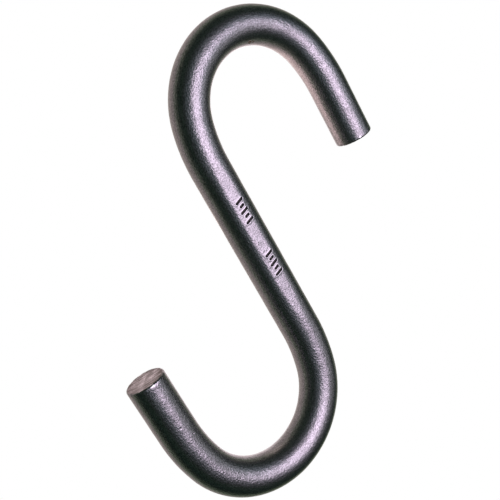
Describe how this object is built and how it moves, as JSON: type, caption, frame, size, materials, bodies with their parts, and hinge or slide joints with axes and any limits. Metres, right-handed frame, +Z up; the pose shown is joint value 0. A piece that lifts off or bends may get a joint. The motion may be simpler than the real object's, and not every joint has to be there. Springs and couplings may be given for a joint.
{
  "type": "s hook",
  "caption": "Heavy S hook bent from round steel bar: a straight slanted shank with like open hooks that face opposite ways, tips parallel to the shank, ends cut square.",
  "frame": {"origin": "the upper saddle: the highest point inside the upper hook, in the plane of the bar's centreline, where the rail or ring that carries the hook bears", "axes": "+Z up along the line of pull through both saddles; +Y square to the plane of the hook, away from the side with the stamped marks; +X to the side that the upper hook opens to"},
  "size_m": [0.0836, 0.0126, 0.1532],
  "materials": {
    "steel": "self-coloured: dark, finely pitted forging scale with a satin sheen, greyer and matt on the sawn ends"
  },
  "bodies": {
    "root": {"hook": "steel"}
  },
  "joints": []
}
